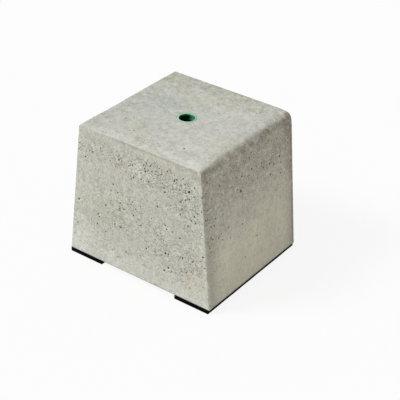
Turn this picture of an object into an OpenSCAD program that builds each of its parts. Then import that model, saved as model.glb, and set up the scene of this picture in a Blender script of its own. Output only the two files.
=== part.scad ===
// Concrete deck pier block: a tapered casting with a threaded plastic socket in its top
// and two rubber strips glued under its left and right sides.
// Millimetres, +Z up. The origin is on the floor, under the middle of the base.
// The front face is at -Y and the worn top edge is at +X.

/* [Concrete block] */
// Width of the base, left to right
base_w = 116; // [80:1:200]
// Width of the top before its edges are rounded
top_w = 96; // [60:1:140]
// Depth, front to back
block_d = 100; // [70:1:200]
// Height of the concrete alone
block_h = 98; // [70:1:180]
// Radius of the worn top edge on the right side
right_edge_r = 4.6; // [1:0.2:8]
// Radius of the top edge on the left side
left_edge_r = 1.4; // [1:0.2:8]
// Radius of the top edges at the front and the back
front_edge_r = 1; // [0.6:0.2:6]
// Radius down the four corners
corner_r = 0.8; // [0.4:0.2:6]
// Radius of the arris round the base
base_edge_r = 0.6; // [0.4:0.1:2]

/* [Threaded socket] */
// Overall length of the socket, from its rim to its foot
socket_l = 52; // [40:1:64]
// Outside diameter of the plain sleeve
sleeve_d = 13; // [12.2:0.1:16]
// Core diameter of the internal thread
core_d = 8.5; // [6:0.1:9]
// Length of the threaded hole below the mouth
thread_l = 40; // [24:1:44]
// Diameter of the plain mouth above the thread
mouth_d = 10.4; // [10:0.1:11.4]
// Depth of the plain mouth
mouth_l = 2.6; // [1:0.2:5]
// Width of the chamfer at the rim
rim_chamfer = 0.3; // [0.1:0.1:0.5]
// How far a barb stands out from the sleeve
barb_out = 1.8; // [0.6:0.2:3]
// Number of barbs along the sleeve
barb_count = 5; // [2:1:6]
// Height of one barb, from its tip to its root
barb_h = 4.2; // [2:0.2:5]
// Plain length of the sleeve above the first barb
barb_top_gap = 9; // [5:0.5:12]
// Width of a fin that stops the socket turning
fin_t = 1.6; // [1:0.2:3]
// Number of fins round the sleeve
fin_count = 4; // [2:1:6]
// How far a fin stands out from the sleeve
fin_out = 1.3; // [0.4:0.1:2.4]
// Width across the flats of the hexagonal foot
foot_af = 18; // [16:0.5:26]
// Thickness of the foot
foot_t = 3; // [2:0.5:5]

/* [Rubber strips] */
// Width of one strip
strip_w = 27.2; // [15:0.2:38]
// Thickness of a strip
strip_t = 3; // [2:0.5:10]
// Distance from the left strip to the side of the base
left_strip_inset = 0.2; // [0:0.1:6]
// Distance from the right strip to the side of the base
right_strip_inset = 0.9; // [0:0.1:6]
// Distance from a strip's ends to the front and the back of the base
strip_end_inset = 0; // [0:0.1:6]
// Radius down the cut corners of a strip
strip_corner_r = 0.5; // [0.2:0.1:3]

/* [Hidden] */

$fn = 64;
concrete_colour = "#B9B8AC";
socket_colour = "#1F7A52";
rubber_colour = "#1B1C1D";

// Extra length of a cutting shape past the face that it opens
over = 1;
top_z = strip_t + block_h;
// Lean of the left and right sides from upright
side_lean = atan((base_w - top_w) / 2 / block_h);
sleeve_r = sleeve_d / 2;
core_r = core_d / 2;
mouth_r = mouth_d / 2;
foot_z = top_z - socket_l;
// Pitch that spreads the barbs between the plain neck and the foot
barb_pitch = (socket_l - barb_top_gap - foot_t - barb_h) / barb_count;
// Height of the drill-point cone at the end of the threaded hole
hole_tip_h = core_r / 2;
// How far the corner cutters run past the base and the top
corner_reach = 10;
strip_l = block_d - 2 * strip_end_inset;

// The sliver that a fillet of radius r takes off a corner. The corner is at the origin, one edge
// runs along the direction a and the other along b, and t is the length from corner to tangent point.
module corner_sliver(a, b, r) {
    bend = acos(a * b);
    t = r / tan(bend / 2);
    mid = (a + b) / norm(a + b);
    centre = mid * r / sin(bend / 2);
    difference() {
        polygon([-over * mid, t * a, centre, t * b]);
        translate(centre) circle(r);
    }
}

// Front view of the casting, standing on z = 0: a trapezium with its four corners rounded
module front_outline() {
    up_right = [-sin(side_lean), cos(side_lean)];
    up_left = [sin(side_lean), cos(side_lean)];
    difference() {
        polygon([[-base_w / 2, 0], [base_w / 2, 0], [top_w / 2, block_h], [-top_w / 2, block_h]]);
        translate([top_w / 2, block_h]) corner_sliver([-1, 0], -up_right, right_edge_r);
        translate([-top_w / 2, block_h]) corner_sliver([1, 0], -up_left, left_edge_r);
        translate([base_w / 2, 0]) corner_sliver([-1, 0], up_right, base_edge_r);
        translate([-base_w / 2, 0]) corner_sliver([1, 0], up_left, base_edge_r);
    }
}

// Side view of the casting: upright at the front and the back
module side_outline() {
    difference() {
        translate([-block_d / 2, 0]) square([block_d, block_h]);
        for (side = [-1, 1]) translate([side * block_d / 2, 0]) {
            translate([0, block_h]) corner_sliver([-side, 0], [0, -1], front_edge_r);
            corner_sliver([-side, 0], [0, 1], base_edge_r);
        }
    }
}

// What rounds the two corners at one side, leaning with that side: side is 1 at the right, -1 at the left
module leaning_corners(side) {
    for (end = [-1, 1])
        translate([side * base_w / 2, end * block_d / 2, 0])
            rotate([0, -side * side_lean, 0])
                translate([0, 0, -corner_reach])
                    linear_extrude(block_h / cos(side_lean) + 2 * corner_reach)
                        corner_sliver([-side, 0], [0, -end], corner_r);
}

// The front view drawn out to the block's depth, with its four leaning corners rounded
module leaning_prism() {
    difference() {
        translate([0, block_d / 2, 0]) rotate([90, 0, 0])
            linear_extrude(block_d) front_outline();
        leaning_corners(1);
        leaning_corners(-1);
    }
}

// The whole casting, standing on z = 0: the side view trims the front view's prism
module casting() {
    intersection() {
        leaning_prism();
        translate([-base_w / 2 - over, 0, 0]) rotate([90, 0, 90])
            linear_extrude(base_w + 2 * over) side_outline();
    }
}

// Outside of the sleeve with its barbs, as a half section: r to the right, z up
module sleeve_section() {
    barbs = [
        for (i = [0 : barb_count - 1])
            let (z = top_z - barb_top_gap - i * barb_pitch)
            each [[sleeve_r, z], [sleeve_r + barb_out, z], [sleeve_r, z - barb_h]]
    ];
    polygon(concat([[0, top_z], [sleeve_r, top_z]], barbs, [[sleeve_r, foot_z], [0, foot_z]]));
}

// The socket's whole outside, which is also the seat that it leaves in the casting
module socket_outside() {
    rotate_extrude() sleeve_section();
    translate([0, 0, foot_z]) cylinder(h = foot_t, d = foot_af / cos(30), $fn = 6);
    for (i = [0 : fin_count - 1])
        rotate([0, 0, (i + 0.5) * 360 / fin_count])
            translate([0, -fin_t / 2, foot_z + foot_t / 2])
                cube([sleeve_r + fin_out, fin_t, socket_l - barb_top_gap - foot_t / 2]);
}

// The stepped hole inside the socket: chamfered rim, plain mouth, thread core, coned end
module socket_hole() {
    mouth_z = top_z - mouth_l;
    thread_z = mouth_z - (mouth_r - core_r);
    rotate_extrude() polygon([
        [0, top_z + over],
        [mouth_r + rim_chamfer, top_z + over],
        [mouth_r + rim_chamfer, top_z],
        [mouth_r, top_z - rim_chamfer],
        [mouth_r, mouth_z],
        [core_r, thread_z],
        [core_r, thread_z - thread_l],
        [0, thread_z - thread_l - hole_tip_h],
    ]);
}

// One strip, with its left side at left_x, lying on the floor
module strip(left_x) {
    translate([left_x, -block_d / 2 + strip_end_inset, 0])
        linear_extrude(strip_t) difference() {
            square([strip_w, strip_l]);
            corner_sliver([1, 0], [0, 1], strip_corner_r);
            translate([strip_w, 0]) corner_sliver([-1, 0], [0, 1], strip_corner_r);
            translate([0, strip_l]) corner_sliver([1, 0], [0, -1], strip_corner_r);
            translate([strip_w, strip_l]) corner_sliver([-1, 0], [0, -1], strip_corner_r);
        }
}

module concrete_block() {
    color(concrete_colour) difference() {
        translate([0, 0, strip_t]) casting();
        socket_outside();
    }
}

module threaded_insert() {
    color(socket_colour) difference() {
        socket_outside();
        socket_hole();
    }
}

module rubber_strip_left() {
    color(rubber_colour) strip(-base_w / 2 + left_strip_inset);
}

module rubber_strip_right() {
    color(rubber_colour) strip(base_w / 2 - right_strip_inset - strip_w);
}

concrete_block();
threaded_insert();
rubber_strip_left();
rubber_strip_right();
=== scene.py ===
import math
import random

import bpy
from mathutils import Matrix, Vector, noise


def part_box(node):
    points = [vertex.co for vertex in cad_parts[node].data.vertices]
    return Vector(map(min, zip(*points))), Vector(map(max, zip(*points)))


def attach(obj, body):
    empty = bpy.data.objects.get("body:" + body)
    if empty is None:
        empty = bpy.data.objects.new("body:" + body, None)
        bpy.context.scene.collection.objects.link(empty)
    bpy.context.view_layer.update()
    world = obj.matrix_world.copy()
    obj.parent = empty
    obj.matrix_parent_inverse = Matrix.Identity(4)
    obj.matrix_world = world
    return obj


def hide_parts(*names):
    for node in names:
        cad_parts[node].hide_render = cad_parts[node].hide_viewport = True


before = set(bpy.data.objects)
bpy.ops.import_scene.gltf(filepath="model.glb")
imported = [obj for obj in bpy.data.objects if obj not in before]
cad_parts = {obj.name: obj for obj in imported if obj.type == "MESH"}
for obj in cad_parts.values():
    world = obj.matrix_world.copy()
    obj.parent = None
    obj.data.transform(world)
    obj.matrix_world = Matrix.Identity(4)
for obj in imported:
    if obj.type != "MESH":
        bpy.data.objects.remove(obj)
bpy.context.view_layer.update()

MM = 0.001

# The camera. It looks down on the block's front corner, as a product photographer's would, and
# leans a little to one side. Its angles and distance were worked out from the block's own edges.
CAMERA_AZIMUTH = math.radians(35.20)
CAMERA_ELEVATION = math.radians(31.93)
CAMERA_ROLL = math.radians(2.04)
CAMERA_DISTANCE = 775.9 * MM
CAMERA_AIM = Vector((0, 0, 52.2 * MM))
CAMERA_SLIDE_RIGHT = 9.79 * MM
CAMERA_SLIDE_UP = -11.37 * MM
SENSOR_WIDTH = 36
FOCAL_IN_FRAMES = 2.930

backward = Vector((
    math.sin(CAMERA_AZIMUTH) * math.cos(CAMERA_ELEVATION),
    -math.cos(CAMERA_AZIMUTH) * math.cos(CAMERA_ELEVATION),
    math.sin(CAMERA_ELEVATION),
))
level_right = Vector((0, 0, 1)).cross(backward).normalized()
level_up = backward.cross(level_right)
camera_right = math.cos(CAMERA_ROLL) * level_right + math.sin(CAMERA_ROLL) * level_up
camera_up = math.cos(CAMERA_ROLL) * level_up - math.sin(CAMERA_ROLL) * level_right
camera_place = CAMERA_AIM + backward * CAMERA_DISTANCE
camera_place += camera_right * CAMERA_SLIDE_RIGHT + camera_up * CAMERA_SLIDE_UP

bpy.ops.object.camera_add()
camera = bpy.context.object
camera.name = "camera"
camera.matrix_world = Matrix((
    (camera_right.x, camera_up.x, backward.x, camera_place.x),
    (camera_right.y, camera_up.y, backward.y, camera_place.y),
    (camera_right.z, camera_up.z, backward.z, camera_place.z),
    (0, 0, 0, 1),
))
camera.data.sensor_width = SENSOR_WIDTH
camera.data.lens = SENSOR_WIDTH * FOCAL_IN_FRAMES
camera.data.clip_start = 10 * MM
camera.data.clip_end = 20
bpy.context.scene.camera = camera


# The concrete block. Sand and cement cast upside down in a smooth mould: the top is dense and
# closed, the upright faces keep the air holes that could not rise past the mould wall, and the
# right top edge is worn round. It is cut from a box, rounded, roughened and then pierced.
block_low, block_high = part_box("concrete_block")
BASE_WIDTH = 115.99 * MM  # a hair under the casting's 116 mm, so that its rounded base stays inside
TOP_WIDTH = 96 * MM
BLOCK_HEIGHT = block_high.z - block_low.z
HALF_DEPTH = block_high.y
RIGHT_EDGE_RADIUS = 4.6 * MM
LEFT_EDGE_RADIUS = 1.4 * MM
FRONT_EDGE_RADIUS = 1 * MM
CORNER_RADIUS = 0.8 * MM
BASE_EDGE_RADIUS = 0.6 * MM
HAIR = 0.05 * MM


def only(thing):
    """Selects one object and nothing else, and makes it the active one."""
    bpy.ops.object.select_all(action="DESELECT")
    thing.select_set(True)
    bpy.context.view_layer.objects.active = thing


def pick(thing, kind, wanted):
    """Opens an object for editing, with just the faces or edges that wanted(part) names selected."""
    only(thing)
    bpy.ops.object.mode_set(mode="EDIT")
    bpy.ops.mesh.select_mode(type=kind)
    bpy.ops.mesh.select_all(action="DESELECT")
    bpy.ops.object.mode_set(mode="OBJECT")
    for part in thing.data.polygons if kind == "FACE" else thing.data.edges:
        part.select = wanted(part)
    bpy.ops.object.mode_set(mode="EDIT")


def apply_all(thing):
    """Applies every modifier of an object, in order."""
    only(thing)
    for name in [m.name for m in thing.modifiers]:
        bpy.ops.object.modifier_apply(modifier=name)


def slice_up(thing, planes):
    """Divides an object's surface along planes, each a point and a normal, so that it can be shaped."""
    only(thing)
    bpy.ops.object.mode_set(mode="EDIT")
    for point, normal in planes:
        bpy.ops.mesh.select_all(action="SELECT")
        bpy.ops.mesh.bisect(plane_co=point, plane_no=normal)
    bpy.ops.object.mode_set(mode="OBJECT")


def steps(first, last, count):
    """The places between first and last that cut the way into count equal steps."""
    return [first + (last - first) * turn / count for turn in range(1, count)]


bpy.ops.mesh.primitive_cube_add(size=1, location=(block_low + block_high) / 2)
block = bpy.context.object
block.name = "cast_concrete_block"
block.scale = (BASE_WIDTH, 2 * HALF_DEPTH, BLOCK_HEIGHT)
only(block)
bpy.ops.object.transform_apply(location=True, rotation=True, scale=True)
pick(block, "FACE", lambda face: face.normal.z > 0.9)
bpy.ops.transform.resize(value=(TOP_WIDTH / BASE_WIDTH, 1, 1), center_override=(0, 0, block_high.z))
bpy.ops.object.mode_set(mode="OBJECT")


def edge_spot(edge):
    """The middle of an edge of the block and its direction."""
    a, b = (block.data.vertices[i].co for i in edge.vertices)
    return (a + b) / 2, (b - a).normalized()


def is_right_top(edge):
    middle, along = edge_spot(edge)
    return abs(along.y) > 0.9 and middle.z > block_high.z - HAIR and middle.x > 0


def is_left_top(edge):
    middle, along = edge_spot(edge)
    return abs(along.y) > 0.9 and middle.z > block_high.z - HAIR and middle.x < 0


def is_end(edge):
    """The edges round the front face and the back face."""
    middle, along = edge_spot(edge)
    return abs(middle.y) > HALF_DEPTH - HAIR and abs(along.y) < 0.1


def is_base(edge):
    return edge_spot(edge)[0].z < block_low.z + HAIR


def is_corner(edge):
    """The end edges that lean upwards, below the rounding of the top."""
    return is_end(edge) and abs(edge_spot(edge)[1].z) > 0.98


def round_off(groups, segments):
    """Rounds edges of the block. Each group is a test that names its edges, and their radius. The first
    turn of the loop takes the weights of the last rounding off all edges."""
    largest = max(radius for wanted, radius in groups)
    for wanted, radius in [(lambda edge: True, -largest)] + groups:
        pick(block, "EDGE", wanted)
        bpy.ops.transform.edge_bevelweight(value=radius / largest)
        bpy.ops.object.mode_set(mode="OBJECT")
    rounding = block.modifiers.new("rounded edges", "BEVEL")
    rounding.limit_method = "WEIGHT"
    rounding.width = largest
    rounding.segments = segments
    rounding.use_clamp_overlap = False
    apply_all(block)


round_off([(is_right_top, RIGHT_EDGE_RADIUS), (is_left_top, LEFT_EDGE_RADIUS)], segments=8)
round_off(
    [
        (is_base, BASE_EDGE_RADIUS),
        (is_corner, CORNER_RADIUS),
        (lambda edge: is_end(edge) and not is_base(edge) and not is_corner(edge), FRONT_EDGE_RADIUS),
    ],
    segments=4,
)

# The surface is divided into cells of about 1.25 mm, fine enough for wear, for painted stains and for
# painted shade
GRID_ACROSS = 92
GRID_DEEP = 80
GRID_HIGH = 78
half_lean = (BASE_WIDTH - TOP_WIDTH) / 2
slice_up(
    block,
    [((share * BASE_WIDTH / 2, 0, block_low.z), (BLOCK_HEIGHT, 0, share * half_lean))
     for share in steps(-1, 1, GRID_ACROSS)]
    + [((0, y, 0), (0, 1, 0)) for y in steps(-HALF_DEPTH, HALF_DEPTH, GRID_DEEP)]
    + [((0, 0, z), (0, 0, 1)) for z in steps(block_low.z, block_high.z, GRID_HIGH)],
)


def side_x(z):
    """How far the right side stands from the middle at a height."""
    return BASE_WIDTH / 2 - half_lean * (z - block_low.z) / BLOCK_HEIGHT


def fade(value, near, far):
    """1 at near, 0 at far, and smooth between them."""
    t = min(1, max(0, (value - near) / (far - near)))
    return 1 - t * t * (3 - 2 * t)


def cloud(place, size, seed=0):
    """Soft noise of that size, from 0 to 1."""
    spot = place / size + Vector((seed * 17.3, seed * 5.1, seed * 11.7))
    return min(1, max(0, 0.5 + 0.9 * noise.noise(spot)))


def paint(thing, group, weigh):
    """Fills a vertex group with weigh(point), from 0 to 1."""
    weights = thing.vertex_groups.new(name=group)
    for vertex in thing.data.vertices:
        weight = weigh(vertex.co)
        if weight > 0:
            weights.add([vertex.index], weight, "REPLACE")


def free_face(point):
    """All but the underside, which stays flat on its strips."""
    return 1 - fade(point.z, block_low.z + 0.3 * MM, block_low.z + 3 * MM)


# The worn edge is tightest at its front end: there its rounding draws in towards the sharp corner
ROUNDING_REACH = RIGHT_EDGE_RADIUS * 0.92
TIGHTENING = 0.6
for vertex in block.data.vertices:
    away = vertex.co - Vector((TOP_WIDTH / 2, vertex.co.y, block_high.z))
    tightness = fade(vertex.co.y + HALF_DEPTH, 2 * MM, 26 * MM)
    tightness *= fade(away.length, ROUNDING_REACH, 2.2 * ROUNDING_REACH)
    vertex.co -= TIGHTENING * tightness * away

SHARP_BELOW = 31 * MM


def right_top_edge(point):
    """The worn edge, which wears less by the front and the back."""
    to_edge = block_high.z - point.z + side_x(point.z) - point.x
    by_front = fade(point.y + HALF_DEPTH, 2 * MM, 16 * MM)
    by_back = fade(HALF_DEPTH - point.y, 1 * MM, 14 * MM)
    return fade(to_edge, 2 * MM, 10 * MM) * (1 - 0.75 * by_front - 0.6 * by_back)


def left_top_edge(point):
    """The left top edge, rounder towards the front."""
    to_edge = block_high.z - point.z + side_x(point.z) + point.x
    return fade(to_edge, 0.5 * MM, 4 * MM) * fade(point.y, -40 * MM, 35 * MM)


def near_corner(point):
    """A shallow hollow of the right side along the near upright corner, above the height SHARP_BELOW."""
    reach = fade(side_x(point.z) - point.x + point.y + HALF_DEPTH, 0, 9 * MM)
    return reach * (1 - fade(point.z, SHARP_BELOW - 2 * MM, SHARP_BELOW + 4 * MM))


def push_in(thing, group, size, depth, direction="NORMAL"):
    """Presses the vertices of a group inwards by up to depth, with a soft pattern of that size."""
    pattern = bpy.data.textures.new(group, "CLOUDS")
    pattern.noise_scale = size
    press = thing.modifiers.new(group, "DISPLACE")
    press.texture = pattern
    press.texture_coords = "LOCAL"
    press.mid_level = 1
    press.strength = depth
    press.direction = direction
    press.vertex_group = group


for name, weigh in (
    ("free faces", free_face),
    ("right top edge", right_top_edge),
    ("left top edge", left_top_edge),
    ("near corner", near_corner),
):
    paint(block, name, weigh)
push_in(block, "free faces", size=30 * MM, depth=0.12 * MM)
push_in(block, "free faces", size=3 * MM, depth=0.1 * MM)
push_in(block, "right top edge", size=9 * MM, depth=1.5 * MM, direction="X")
push_in(block, "right top edge", size=7 * MM, depth=1.9 * MM, direction="Z")
push_in(block, "left top edge", size=12 * MM, depth=1.2 * MM, direction="Z")
push_in(block, "near corner", size=14 * MM, depth=0.5 * MM, direction="X")
apply_all(block)

# Air holes. Their places are in millimetres: on the front across from its middle and up from the
# floor, on the right side deep from its middle and up, and on the top across and deep. Patches say
# where they crowd together. The higher FEW_LARGE is, the rarer is a large hole.
SMALLEST_HOLE = 0.5
LARGEST_HOLE = 1.25
FEW_LARGE = 2.6
CLEARANCE = 0.2 * MM
chance = random.Random(7)


def patch(across, up, middle, height, reach, rise):
    """1 in the middle of an oval patch of a face and 0 outside it."""
    return fade(math.hypot((across - middle) / reach, (up - height) / rise), 0.35, 1)


def skin_margin(up):
    """The smooth bands along the top and the base of every upright face."""
    return (1 - fade(up, 5, 15)) * fade(up, 92, 97)


def front_crowding(across, up):
    crowd = patch(across, up, 10, 86, 46, 13) + 0.9 * patch(across, up, 37, 76, 17, 16)
    crowd += 0.3 * patch(across, up, 44, 58, 12, 30) + 0.5 * patch(across, up, 34, 32, 26, 20)
    crowd += 0.5 * patch(across, up, -42, 84, 11, 14) + 0.3 * patch(across, up, -5, 48, 40, 24)
    return (0.07 + crowd) * skin_margin(up)


def right_crowding(deep, up):
    crowd = 0.5 * patch(deep, up, 4, 84, 56, 22) + 0.6 * patch(deep, up, -44, 60, 9, 50)
    return (0.05 + crowd) * skin_margin(up)


def hidden_crowding(across, up):
    crowd = 0.6 * patch(across, up, -12, 82, 52, 20) + 0.4 * patch(across, up, 26, 50, 30, 30)
    return (0.07 + crowd) * skin_margin(up)


def even_crowding(across, up):
    return 0.3


def on_front(across, up):
    return Vector((across, -50, up)) * MM


def on_back(across, up):
    return Vector((across, 50, up)) * MM


def on_right(deep, up):
    return Vector((side_x(up * MM), deep * MM, up * MM))


def on_left(deep, up):
    return Vector((-side_x(up * MM), deep * MM, up * MM))


def on_top(across, deep):
    return Vector((across * MM, deep * MM, block_high.z))


def on_underside(across, deep):
    return Vector((across * MM, deep * MM, block_low.z))


holes = []


def is_clear(place, radius):
    return all((place - other).length > radius + size + CLEARANCE for other, size in holes)


def sprinkle(on_face, crowding, across_range, up_range, count):
    """Scatters air holes over a face. Small ones are many and large ones few."""
    made = 0
    while made < count:
        across, up = chance.uniform(*across_range), chance.uniform(*up_range)
        size = SMALLEST_HOLE + (LARGEST_HOLE - SMALLEST_HOLE) * chance.random() ** FEW_LARGE
        place = on_face(across, up)
        clump = 2 * cloud(place, 8 * MM, 3) ** 2
        if chance.random() < crowding(across, up) * clump and is_clear(place, size * MM / 2):
            holes.append((place, size * MM / 2))
            made += 1


for across, up, size in (
    (6, 86, 1.6), (2.5, 79, 1.1), (-3.5, 78, 1), (8.5, 79.5, 1.1), (18.5, 88.5, 1.2), (30, 89, 1.1),
    (39.5, 84, 1.7), (-49.5, 44.5, 1.5), (33.5, 74.5, 1.3), (-3.5, 50, 1.3), (44, 68, 1.4),
    (42, 64.5, 1), (2, 44.5, 1.1), (-14, 36.5, 1.2), (7, 29, 1.2), (22.5, 32, 1.6), (51.5, 41.5, 1.5),
    (49.5, 37.5, 1.1), (25, 22, 1.3), (21.5, 18.5, 1.5), (34, 34, 1.1), (-21.5, 16, 1),
):
    holes.append((on_front(across, up), size * MM / 2))
for deep, up, size in (
    (-10.5, 70.5, 1.9), (22, 75.5, 1.5), (34, 76, 1.6), (2, 92, 1.2), (2, 80.5, 1.3), (23, 67.5, 1.4),
    (27, 81.5, 1), (-45, 92, 1.3), (-46, 67, 1.2), (-40, 60, 1.1), (-30.5, 63.5, 1), (-42.5, 51.5, 1.2),
    (-23.5, 43.5, 1), (-48.5, 6, 1.2), (-9.3, 68.7, 0.6), (-8.8, 67.9, 0.55), (-8.3, 67.1, 0.5),
):
    holes.append((on_right(deep, up), size * MM / 2))
sprinkle(on_front, front_crowding, (-54, 54), (6, 97), 420)
sprinkle(on_right, right_crowding, (-49, 49), (6, 96), 150)
sprinkle(on_back, hidden_crowding, (-54, 54), (6, 97), 210)
sprinkle(on_left, hidden_crowding, (-49, 49), (6, 97), 190)
sprinkle(on_top, even_crowding, (-43, 43), (-46, 46), 10)
sprinkle(on_underside, even_crowding, (-54, 54), (-48, 48), 40)
for across, deep, size in (
    (-5.5, 12.8, 0.9), (12.2, 18, 1), (21, 18, 0.8), (31.4, 33.6, 0.9), (-4, 43.6, 0.8),
    (-27, 26.5, 0.8), (-22.5, 24.5, 0.7),
):
    holes.append((on_top(across, deep), size * MM / 2))


def ball_mesh(subdivisions):
    """The corners and faces of one small ball of radius 1."""
    bpy.ops.mesh.primitive_ico_sphere_add(subdivisions=subdivisions, radius=1)
    ball = bpy.context.object
    corners = [vertex.co.copy() for vertex in ball.data.vertices]
    faces = [tuple(face.vertices) for face in ball.data.polygons]
    bpy.data.objects.remove(ball)
    return corners, faces


ROUND_FROM = 0.45 * MM
small_ball = ball_mesh(subdivisions=1)
large_ball = ball_mesh(subdivisions=2)
air_corners = []
air_faces = []
for place, radius in holes:
    corners, faces = small_ball if radius < ROUND_FROM else large_ball
    turn = Matrix.Rotation(chance.uniform(0, 6.28), 3, Vector((chance.random(), chance.random(), 1)))
    stretch = chance.uniform(0.85, 1.3)
    shape = Matrix.Diagonal((stretch, 1 / stretch, chance.uniform(0.95, 1.25)))
    first = len(air_corners)
    for corner in corners:
        lump = 1 + 0.28 * noise.noise(corner * 1.7 + place * 900)
        air_corners.append(place + turn @ shape @ corner * radius * lump)
    air_faces.extend(tuple(first + i for i in face) for face in faces)
air_shape = bpy.data.meshes.new("air")
air_shape.from_pydata(air_corners, [], air_faces)
air = bpy.data.objects.new("air", air_shape)
bpy.context.scene.collection.objects.link(air)


def cut_with(thing, tool, wall):
    """Takes the shape of tool out of thing, gives the cut walls a material, and removes tool."""
    tool.data.materials.clear()
    tool.data.materials.append(wall)
    cut = thing.modifiers.new("cut", "BOOLEAN")
    cut.operation = "DIFFERENCE"
    cut.solver = "MANIFOLD"
    cut.material_mode = "TRANSFER"
    cut.object = tool
    apply_all(thing)
    bpy.data.objects.remove(tool)


def merged_copy(node, name):
    """A copy of a CAD node, with its loose triangles joined into one closed mesh."""
    thing = bpy.data.objects.new(name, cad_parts[node].data.copy())
    thing.data.materials.clear()
    bpy.context.scene.collection.objects.link(thing)
    only(thing)
    bpy.ops.object.mode_set(mode="EDIT")
    bpy.ops.mesh.select_all(action="SELECT")
    bpy.ops.mesh.remove_doubles(threshold=0.001 * MM)
    bpy.ops.object.mode_set(mode="OBJECT")
    return thing


concrete_face = bpy.data.materials.new("cast concrete")
painted_shade_hole_wall = bpy.data.materials.new("air hole wall in painted shade")
block.data.materials.append(concrete_face)
cut_with(block, air, painted_shade_hole_wall)

# The socket's seat: the bore first, so that no concrete is left standing inside it
SEAT_BORE_RADIUS = 5.8 * MM
FOOT_THICKNESS = 3 * MM
socket_low, socket_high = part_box("threaded_insert")
bore_depth = socket_high.z - socket_low.z - FOOT_THICKNESS / 2
bpy.ops.mesh.primitive_cylinder_add(
    vertices=64, radius=SEAT_BORE_RADIUS, depth=2 * bore_depth, location=(0, 0, socket_high.z)
)
cut_with(block, bpy.context.object, concrete_face)
cut_with(block, merged_copy("threaded_insert", "seat"), concrete_face)
only(block)
bpy.ops.object.shade_smooth_by_angle(angle=math.radians(40))
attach(block, "root")
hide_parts("concrete_block")


def linear(text):
    """An sRGB hex colour as the linear red, green, blue and alpha that Blender works in."""
    values = [int(text[i:i + 2], 16) / 255 for i in (1, 3, 5)]
    return [v / 12.92 if v <= 0.04045 else ((v + 0.055) / 1.055) ** 2.4 for v in values] + [1]


def bare_tree(holder):
    """Gives a material or a world an empty node tree."""
    holder.use_nodes = True
    holder.node_tree.nodes.clear()
    return holder.node_tree


def add_node(tree, kind, inputs, out=0, **settings):
    """Adds a node, sets or links its inputs by name or number, and gives one of its outputs."""
    node = tree.nodes.new("ShaderNode" + kind)
    for name, value in settings.items():
        setattr(node, name, value)
    for key, value in inputs.items():
        if isinstance(value, bpy.types.NodeSocket):
            tree.links.new(value, node.inputs[key])
        else:
            node.inputs[key].default_value = value
    return node.outputs[out] if node.outputs else None


def paint_number(thing, name, weigh):
    """Stores weigh(point) on every vertex of a mesh, where its material reads it by that name."""
    layer = thing.data.attributes.new(name, "FLOAT", "POINT")
    layer.data.foreach_set("value", [weigh(vertex.co) for vertex in thing.data.vertices])


def bloom_and_painted_highlight(point):
    """Pale lime bloom: on the top behind its front edge, and on the front at its foot and its ends, with
    a painted highlight up the front beside the near corner.
    """
    across, deep, up = point / MM
    to_top = block_high.z - point.z
    to_front = point.y + HALF_DEPTH
    on_face = fade(to_front, 1 * MM, 3 * MM)
    on_top = fade(to_top, 0.8 * MM, 1.6 * MM)
    rim = fade(to_front, 4 * MM, 9 * MM) * (0.3 + 0.7 * cloud(Vector((point.x, 0, 0)), 13 * MM, 1))
    rim += 0.5 * fade(math.hypot(across - 36, deep + 34), 8, 36)
    foot = fade(point.z, 8 * MM, 30 * MM) * (0.4 + 0.6 * cloud(point, 19 * MM, 2))
    left_end = fade(point.x + BASE_WIDTH / 2, 6 * MM, 26 * MM) * (0.3 + 0.7 * cloud(point, 14 * MM, 4))
    # Painted highlight along the near upright corner
    corner_highlight = fade(side_x(point.z) - point.x, 1 * MM, 6 * MM)
    pale_spots = patch(across, up, 0, 85, 14, 8) + patch(across, up, 37, 84, 12, 9)
    pale_spots += 0.7 * patch(across, up, -50, 24, 14, 12)
    on_front = 0.7 * foot + 0.5 * left_end + 0.25 * corner_highlight + 0.5 * pale_spots
    return min(1, 0.8 * on_top * rim + on_face * on_front)


def paler_lower_right(point):
    """The paler, yellower middle and foot of the right side."""
    to_side = side_x(point.z) - point.x
    by_front = fade(point.y + HALF_DEPTH, 3 * MM, 18 * MM)
    by_back = fade(HALF_DEPTH - point.y, 2 * MM, 14 * MM)
    spread = fade(point.z, 26 * MM, 94 * MM) * (0.75 + 0.25 * cloud(point, 16 * MM, 7))
    return fade(to_side, 1 * MM, 3 * MM) * spread * (1 - 0.85 * by_front - 0.7 * by_back)


def drab(point):
    """A darker, olive band along the back of the top, and fainter along its left end."""
    on_top = fade(block_high.z - point.z, 0.8 * MM, 1.6 * MM)
    at_back = fade(HALF_DEPTH - point.y, 6 * MM, 26 * MM) * fade(point.x, 30 * MM, 48 * MM)
    at_left = fade(point.x + TOP_WIDTH / 2, 4 * MM, 30 * MM)
    return on_top * min(1, (at_back + 0.6 * at_left) * (0.4 + 1.2 * cloud(point, 7 * MM, 15)))


def browner_and_painted_shade(point):
    """Browner concrete on the right side, browner still in its upper part, with painted shade under its
    worn edge and by its corners.
    """
    to_top = block_high.z - point.z
    to_front = point.y + HALF_DEPTH
    to_back = HALF_DEPTH - point.y
    on_right = fade(side_x(point.z) - point.x, 2 * MM, 5 * MM) * (1 - fade(to_front, 0.2 * MM, 0.6 * MM))
    upper = fade(to_top, 10 * MM, 50 * MM) * (0.3 + 1.0 * cloud(point, 12 * MM, 5))
    # Painted shade under the worn edge, by both ends and at the far top corner
    under_edge = fade(abs(to_top - 4 * MM), 1.5 * MM, 5 * MM) * (0.3 + 1.0 * cloud(point, 8 * MM, 13))
    near_end = fade(to_front, 2 * MM, 10 * MM) * (0.6 + 0.4 * cloud(point, 9 * MM, 6))
    far_end = fade(to_back, 1 * MM, 8 * MM)
    far_top = fade(to_back, 3 * MM, 14 * MM) * fade(to_top, 4 * MM, 30 * MM)
    smear = patch(point.y / MM, point.z / MM - 0.35 * (point.y / MM - 10), 10, 34, 5, 2.2)
    amount = 0.4 + 0.2 * upper + 0.25 * under_edge + 0.25 * near_end + 0.3 * far_end
    return min(1, on_right * (amount + 0.8 * far_top + 0.5 * smear))


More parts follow.
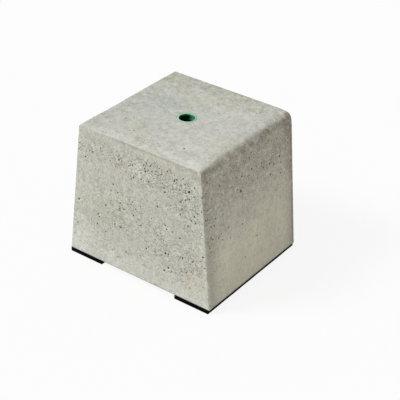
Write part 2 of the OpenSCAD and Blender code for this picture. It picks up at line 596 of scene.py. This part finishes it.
def sandiness(point):
    """How much sand shows: little on the top, most in the pitted parts and high on the right side."""
    across, deep, up = point / MM
    if point.z > block_high.z - 1.5 * MM:
        return 0.5 + 0.25 * drab(point)
    if point.x > side_x(point.z) - 2 * MM:
        return 0.42 + 0.6 * fade(up, 80, 20) if point.y > -HALF_DEPTH + 1 * MM else 0.8
    if point.y < -HALF_DEPTH + 1 * MM:
        return 0.75 + 0.4 * min(1, front_crowding(across, up))
    return 0.8


def cool_patch(point):
    """The bluer, denser patch of the top, left of the socket and behind it."""
    if point.z < block_high.z - 1 * MM:
        return 0
    across, deep, up = point / MM
    return 0.7 * patch(across, deep, -21, 10, 19, 17) + 0.3 * patch(across, deep, -20, 2, 34, 26)


def painted_crease_shade(point):
    """Painted shade: thin dark lines under the front top edge, on the back one, along the base and down
    the corners of the right side, and the darkest spots, under the worn edge."""
    to_top = block_high.z - point.z
    to_base = point.z - block_low.z
    to_back = HALF_DEPTH - point.y
    on_front = fade(point.y + HALF_DEPTH, 0.5 * MM, 1 * MM)
    on_right = fade(side_x(point.z) - point.x, 0.6 * MM, 3 * MM) * (1 - on_front)
    under_top = on_front * fade(abs(to_top - 1.2 * MM), 0.4 * MM, 1.3 * MM)
    under_top *= fade(abs(point.x - 14 * MM), 24 * MM, 46 * MM) * (0.3 + 0.7 * cloud(point, 7 * MM, 11))
    base = 0.9 * fade(to_base, 0.3 * MM, 1.2 * MM)
    far_line = 1.5 * on_right * fade(to_back, 1 * MM, 3.4 * MM)
    near_line = 0.35 * on_right * fade(point.y + HALF_DEPTH, 2.5 * MM, 5 * MM)
    near_line *= 1 - fade(point.z, 55 * MM, 85 * MM)
    across, deep, up = point / MM
    shade_spots = 1.1 * patch(deep, up, 47, 95, 9, 9) + 0.5 * patch(deep, up, 46, 66, 8, 12)
    shade_spots = on_right * (shade_spots + 0.4 * patch(deep, up, -45, 95, 12, 10))
    shade_spots += 0.4 * on_front * patch(across, up, 46, 96, 9, 5)
    # Painted shade in patches under the worn edge
    shade_patches = max(0, 3 * cloud(point, 5 * MM, 14) - 1.4)
    shade_spots += 0.8 * on_right * fade(abs(to_top - 5 * MM), 1 * MM, 4 * MM) * shade_patches
    back_line = 0.6 * fade(to_top, 0.8 * MM, 1.6 * MM) * fade(to_back, 0.8 * MM, 2 * MM)
    back_line *= 1 - fade(point.x, -22 * MM, -4 * MM)
    return min(1, under_top + base + far_line + near_line + back_line + shade_spots)


def pitted(point):
    """Where the skin is open and full of pin holes."""
    across, deep, up = point / MM
    if point.z > block_high.z - 1.5 * MM:
        return 0.08
    if abs(point.y) > HALF_DEPTH - 1 * MM:
        crowd = front_crowding(across, up) if point.y < 0 else hidden_crowding(across, up)
    else:
        crowd = right_crowding(deep, up) if point.x > 0 else hidden_crowding(deep, up)
    return min(1, crowd * (0.5 + cloud(point, 10 * MM, 8)))


for name, weigh in (
    ("bloom_and_painted_highlight", bloom_and_painted_highlight),
    ("paler_lower_right", paler_lower_right),
    ("drab", drab),
    ("browner_and_painted_shade", browner_and_painted_shade),
    ("pitted", pitted),
    ("sandiness", sandiness),
    ("cool patch", cool_patch),
    ("painted_crease_shade", painted_crease_shade),
):
    paint_number(block, name, weigh)

# Cast concrete. What gives the eye: a matt grey that drifts between warm and cool over centimetres,
# sand-sized grain, pin holes in open patches, lime bloom and a browner right side. Painted shade darkens
# the pin holes, the creases and the right side's edges and corners, and a painted highlight runs up the
# front beside the near corner. The top is closed, so its mottling, from FINE_GRAIN up, shows more than
# its sand.
SIDE_TONE = "#BDBCB0"
TOP_TONE = "#C2C3BB"
FINE_GRAIN = 3 * MM
TOP_MOTTLING = 0.35
tree = bare_tree(concrete_face)
spot = add_node(tree, "TexCoord", {}, out="Object")
facing = add_node(tree, "SeparateXYZ", {0: add_node(tree, "TexCoord", {}, out="Normal")}, out="Z")
on_flat_top = add_node(tree, "MapRange", {"Value": facing, "From Min": 0.6, "From Max": 0.97})
colour = add_node(
    tree, "Mix", {0: on_flat_top, 6: linear(SIDE_TONE), 7: linear(TOP_TONE)}, out=2, data_type="RGBA"
)
for name, share, tint in (
    # browner right side, with painted shade under its worn edge and by its corners
    ("browner_and_painted_shade", 0.85, "#8C7A5F"),
    ("paler_lower_right", 0.82, "#DCD7C0"),
    # lime bloom, with a painted highlight by the near corner
    ("bloom_and_painted_highlight", 0.8, "#DADBD4"),
    ("drab", 0.32, "#8A8B78"),
    ("cool patch", 0.5, "#A0AAA8"),
    # painted shade in creases, along edges and under the worn edge
    ("painted_crease_shade", 0.6, "#625F50"),
):
    amount = add_node(tree, "Attribute", {}, out="Fac", attribute_name=name)
    amount = add_node(tree, "MapRange", {"Value": amount, "To Max": share})
    colour = add_node(tree, "Mix", {0: amount, 6: colour, 7: linear(tint)}, out=2, data_type="RGBA")
sandy = add_node(tree, "Attribute", {}, out="Fac", attribute_name="sandiness")
mottled = add_node(tree, "Math", {0: on_flat_top, 1: TOP_MOTTLING, 2: sandy}, operation="MULTIPLY_ADD")
for size, low, high, share, tint in (
    (34 * MM, 0.46, 0.66, 0.20, "#B1B6B0"),
    (21 * MM, 0.50, 0.70, 0.45, "#BDBBA2"),
    (8 * MM, 0.48, 0.72, 0.34, "#9A978A"),
    (4.2 * MM, 0.48, 0.68, 0.34, "#8E8A7C"),
    (3.4 * MM, 0.50, 0.68, 0.40, "#DAD9CE"),
    (2.0 * MM, 0.48, 0.68, 0.42, "#858274"),
    (1.1 * MM, 0.50, 0.68, 0.36, "#E2E1D8"),
    (0.9 * MM, 0.48, 0.68, 0.40, "#757265"),
):
    offset = add_node(tree, "VectorMath", {0: spot, 1: (7 * size, 3 * size, 5 * size)}, operation="ADD")
    drift = add_node(tree, "TexNoise", {"Vector": offset, "Scale": 1 / size, "Detail": 2.0})
    amount = add_node(
        tree, "MapRange", {"Value": drift, "From Min": low, "From Max": high, "To Max": share}
    )
    strength = mottled if size > FINE_GRAIN else sandy
    amount = add_node(tree, "Math", {0: amount, 1: strength}, operation="MULTIPLY")
    colour = add_node(tree, "Mix", {0: amount, 6: colour, 7: linear(tint)}, out=2, data_type="RGBA")
PIN_SPACING = 1.25 * MM
pin = add_node(tree, "TexVoronoi", {"Vector": spot, "Scale": 1 / PIN_SPACING})
pin_depth = add_node(
    tree, "MapRange", {"Value": pin, "From Min": 0.12, "From Max": 0.34, "To Min": 1.0, "To Max": 0.0}
)
lot = add_node(tree, "SeparateXYZ", {0: pin.node.outputs["Color"]})
crowd = add_node(tree, "Attribute", {}, out="Fac", attribute_name="pitted")
is_open = add_node(tree, "Math", {0: lot, 1: crowd}, operation="LESS_THAN")
pin_depth = add_node(tree, "Math", {0: pin_depth, 1: is_open}, operation="MULTIPLY")
# Painted shade in the pin holes, darkest at their middles
pin_shade = add_node(tree, "MapRange", {"Value": pin_depth, "To Max": 0.55})
colour = add_node(tree, "Mix", {0: pin_shade, 6: colour, 7: linear("#5C594D")}, out=2, data_type="RGBA")
sand = add_node(tree, "TexNoise", {"Vector": spot, "Scale": 1 / (0.8 * MM), "Detail": 3.0})
rough_skin = add_node(tree, "Bump", {"Height": sand, "Distance": 0.18 * MM, "Strength": 0.8})
pin_sink = add_node(tree, "Math", {0: pin_depth, 1: -1.0}, operation="MULTIPLY")
pierced_skin = add_node(
    tree, "Bump", {"Height": pin_sink, "Distance": 0.3 * MM, "Strength": 1.0, "Normal": rough_skin}
)
surface = add_node(tree, "BsdfPrincipled", {
    "Base Color": colour, "Roughness": 0.9, "Specular IOR Level": 0.3, "Normal": pierced_skin
})
add_node(tree, "OutputMaterial", {"Surface": surface})

# The walls of the air holes. What gives the eye: painted shade, darker and browner than the face.
tree = bare_tree(painted_shade_hole_wall)
spot = add_node(tree, "TexCoord", {}, out="Object")
drift = add_node(tree, "TexNoise", {"Vector": spot, "Scale": 1 / (6 * MM)})
amount = add_node(tree, "MapRange", {"Value": drift, "From Min": 0.3, "From Max": 0.7})
colour = add_node(
    tree, "Mix", {0: amount, 6: linear("#4C483C"), 7: linear("#706C5F")}, out=2, data_type="RGBA"
)
surface = add_node(tree, "BsdfPrincipled", {"Base Color": colour, "Roughness": 0.95})
add_node(tree, "OutputMaterial", {"Surface": surface})


# The socket. A sleeve of green polyethylene, injection moulded, cast into the top and flush with it.
# Barbs, fins and a six-sided foot hold it, and a blind M10 thread is moulded in below a plain mouth.
# The sleeve comes from the CAD node, and the thread is a groove wound down its hole.
THREAD_PITCH = 1.5 * MM
THREAD_CORE_RADIUS = 4.25 * MM
THREAD_ROOT_RADIUS = 5.0 * MM
THREAD_TOP = 97.3 * MM
THREAD_TURNS = 25
STEPS_PER_TURN = 40
FLANK_SLOPE = math.tan(math.radians(30))
root_half = THREAD_PITCH / 16
inner_radius = THREAD_CORE_RADIUS - 0.3 * MM
inner_half = root_half + (THREAD_ROOT_RADIUS - inner_radius) * FLANK_SLOPE
groove_foot = THREAD_TOP - THREAD_TURNS * THREAD_PITCH

# Green polyethylene. What gives the eye: a waxy, half-matt green, cement dust on the rim, and painted
# shade that darkens the thread below the mouth, all but on the side that the light falls on.
green = bpy.data.materials.new("moulded green polyethylene")
tree = bare_tree(green)
spot = add_node(tree, "TexCoord", {}, out="Object")
drift = add_node(tree, "TexNoise", {"Vector": spot, "Scale": 1 / (4 * MM)})
amount = add_node(tree, "MapRange", {"Value": drift, "From Min": 0.3, "From Max": 0.7})
colour = add_node(
    tree, "Mix", {0: amount, 6: linear("#237F55"), 7: linear("#2E8F63")}, out=2, data_type="RGBA"
)
height = add_node(tree, "SeparateXYZ", {0: spot}, out="Z")
# Heights. The painted shade leaves the wall green down to a lower height on the side that the light falls
# on.
SHADE_FROM = 101 * MM
SHADE_FULL = 99.6 * MM
LIT_SIDE = (0.82, 0.57, 0)
LIT_DEPTH = 94 * MM
DUST_FROM = 100.75 * MM
DUST_FULL = 100.95 * MM
# Painted shade: below the mouth the hole darkens to near black, except on the lit side, where it starts
# lower.
level_spot = add_node(tree, "VectorMath", {0: spot, 1: (1, 1, 0)}, operation="MULTIPLY")
outward = add_node(tree, "VectorMath", {0: level_spot}, operation="NORMALIZE")
aside = add_node(tree, "VectorMath", {0: outward, 1: LIT_SIDE}, out="Value", operation="DOT_PRODUCT")
lit_wall = add_node(tree, "MapRange", {"Value": aside, "From Min": 0.25, "From Max": 0.75})
lit_low = add_node(tree, "MapRange", {"Value": height, "From Min": LIT_DEPTH, "From Max": SHADE_FULL})
lit_wall = add_node(tree, "Math", {0: lit_wall, 1: lit_low}, operation="MULTIPLY")
painted_shade = add_node(tree, "MapRange", {"Value": height, "From Min": SHADE_FROM, "From Max": SHADE_FULL})
painted_shade = add_node(tree, "Math", {0: painted_shade, 1: lit_wall}, operation="SUBTRACT", use_clamp=True)
painted_shade = add_node(tree, "MapRange", {"Value": painted_shade, "To Max": 0.97})
matt = add_node(tree, "MapRange", {"Value": painted_shade, "To Min": 0.45, "To Max": 0.9})
shine = add_node(tree, "MapRange", {"Value": painted_shade, "To Min": 0.5, "To Max": 0.02})
colour = add_node(tree, "Mix", {0: painted_shade, 6: colour, 7: linear("#010A05")}, out=2, data_type="RGBA")
dust_noise = add_node(tree, "TexNoise", {"Vector": spot, "Scale": 1 / (1.2 * MM)})
dust = add_node(tree, "MapRange", {"Value": dust_noise, "From Min": 0.25, "From Max": 0.6, "To Min": 0.8})
on_rim = add_node(tree, "MapRange", {"Value": height, "From Min": DUST_FROM, "From Max": DUST_FULL})
dust = add_node(tree, "Math", {0: dust, 1: on_rim}, operation="MULTIPLY")
colour = add_node(tree, "Mix", {0: dust, 6: colour, 7: linear("#9FCEB4")}, out=2, data_type="RGBA")
surface = add_node(tree, "BsdfPrincipled", {
    "Base Color": colour, "Roughness": matt, "Specular IOR Level": shine, "IOR": 1.51
})
add_node(tree, "OutputMaterial", {"Surface": surface})

socket = merged_copy("threaded_insert", "green_threaded_socket")
socket.data.materials.append(green)
bpy.ops.mesh.primitive_plane_add(size=2)
groove = bpy.context.object
for vertex in groove.data.vertices:
    is_inner = vertex.co.x < 0
    half = inner_half if is_inner else root_half
    vertex.co = (inner_radius if is_inner else THREAD_ROOT_RADIUS, 0, groove_foot + vertex.co.y * half)
pick(groove, "FACE", lambda face: True)
bpy.ops.mesh.delete(type="ONLY_FACE")
bpy.ops.object.mode_set(mode="OBJECT")
winding = groove.modifiers.new("winding", "SCREW")
winding.screw_offset = THREAD_PITCH
winding.iterations = THREAD_TURNS
winding.steps = STEPS_PER_TURN
winding.render_steps = STEPS_PER_TURN
apply_all(groove)
bpy.ops.object.mode_set(mode="EDIT")
bpy.ops.mesh.select_all(action="SELECT")
bpy.ops.mesh.fill_holes(sides=4)
bpy.ops.mesh.select_all(action="SELECT")
bpy.ops.mesh.normals_make_consistent(inside=False)
bpy.ops.object.mode_set(mode="OBJECT")
cut_with(socket, groove, green)
only(socket)
bpy.ops.object.shade_smooth_by_angle(angle=math.radians(30))
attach(socket, "root")
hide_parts("threaded_insert")


# The rubber strips. Two lengths of 3 mm black rubber sheet, cut with a knife and glued under the
# sides. They are a box each, softened at the edges, with cut sides that wander a little.
STRIP_CORNER = 0.25 * MM
STRIP_CUTS = 60
CUT_WANDER = 0.25 * MM
CUT_WAVE = 13 * MM

# Black sheet rubber. What gives the eye: near black, half matt, with fine crumbs and a little dust.
black = bpy.data.materials.new("black sheet rubber")
tree = bare_tree(black)
spot = add_node(tree, "TexCoord", {}, out="Object")
drift = add_node(tree, "TexNoise", {"Vector": spot, "Scale": 1 / (2.5 * MM), "Detail": 4.0})
amount = add_node(tree, "MapRange", {"Value": drift, "From Min": 0.45, "From Max": 0.75})
colour = add_node(
    tree, "Mix", {0: amount, 6: linear("#030304"), 7: linear("#0B0B0C")}, out=2, data_type="RGBA"
)
crumbs = add_node(tree, "TexNoise", {"Vector": spot, "Scale": 1 / (0.5 * MM)})
skin = add_node(tree, "Bump", {"Height": crumbs, "Distance": 0.06 * MM, "Strength": 0.6})
surface = add_node(tree, "BsdfPrincipled", {
    "Base Color": colour, "Roughness": 0.7, "Specular IOR Level": 0.03, "Normal": skin
})
add_node(tree, "OutputMaterial", {"Surface": surface})

for node in ("rubber_strip_left", "rubber_strip_right"):
    low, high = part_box(node)
    middle = (low + high) / 2
    bpy.ops.mesh.primitive_cube_add(size=1, location=middle)
    strip = bpy.context.object
    strip.name = node + "_sheet"
    strip.scale = high - low
    only(strip)
    bpy.ops.object.transform_apply(location=True, rotation=True, scale=True)
    softening = strip.modifiers.new("soft edges", "BEVEL")
    softening.width = STRIP_CORNER
    softening.segments = 2
    apply_all(strip)
    slice_up(strip, [((0, y, 0), (0, 1, 0)) for y in steps(low.y, high.y, STRIP_CUTS)])
    for vertex in strip.data.vertices:
        side = math.copysign(1, vertex.co.x - middle.x)
        wave = cloud(Vector((side, vertex.co.y / CUT_WAVE, low.x)), 1, 9)
        vertex.co.x -= side * CUT_WANDER * wave
    bpy.ops.object.shade_smooth_by_angle(angle=math.radians(40))
    strip.data.materials.append(black)
    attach(strip, "root")
    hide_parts(node)


# The floor and the light. A white table under a soft window at the upper left. The camera sees the
# table and the background nearly white, with the block's shadow faint on it.
FLOOR_SIZE = 8
SEEN_WHITE = 0.86
bpy.ops.mesh.primitive_plane_add(size=FLOOR_SIZE)
floor = bpy.context.object
floor.name = "floor"
table = bpy.data.materials.new("white table")
tree = bare_tree(table)
seen = add_node(tree, "LightPath", {}, out="Is Camera Ray")
mirrored = add_node(tree, "LightPath", {}, out="Is Glossy Ray")
seen = add_node(tree, "Math", {0: seen, 1: mirrored}, operation="MAXIMUM")
share = add_node(tree, "Math", {0: seen, 1: SEEN_WHITE}, operation="MULTIPLY")
coat = add_node(tree, "BsdfDiffuse", {"Color": linear("#E8E8E8")})
glow = add_node(tree, "Emission", {"Color": linear("#FFFFFF")})
surface = add_node(tree, "MixShader", {0: share, 1: coat, 2: glow})
add_node(tree, "OutputMaterial", {"Surface": surface})
floor.data.materials.append(table)

SKY_LEVEL = 0.62
sky = bpy.data.worlds.new("soft daylight")
bpy.context.scene.world = sky
tree = bare_tree(sky)
seen = add_node(tree, "LightPath", {}, out="Is Camera Ray")
level = add_node(tree, "MapRange", {"Value": seen, "To Min": SKY_LEVEL})
light = add_node(tree, "Background", {"Color": linear("#FFFFFF"), "Strength": level})
add_node(tree, "OutputWorld", {"Surface": light})

KEY_LEVEL = 2.0
KEY_SOFTNESS = math.radians(20)
KEY_FROM = Vector((-0.50, -0.50, 0.70))
bpy.ops.object.light_add(type="SUN")
key = bpy.context.object
key.name = "window_light"
key.data.energy = KEY_LEVEL
key.data.angle = KEY_SOFTNESS
key.rotation_euler = KEY_FROM.to_track_quat("Z", "Y").to_euler()

bpy.context.scene.view_settings.view_transform = "Standard"
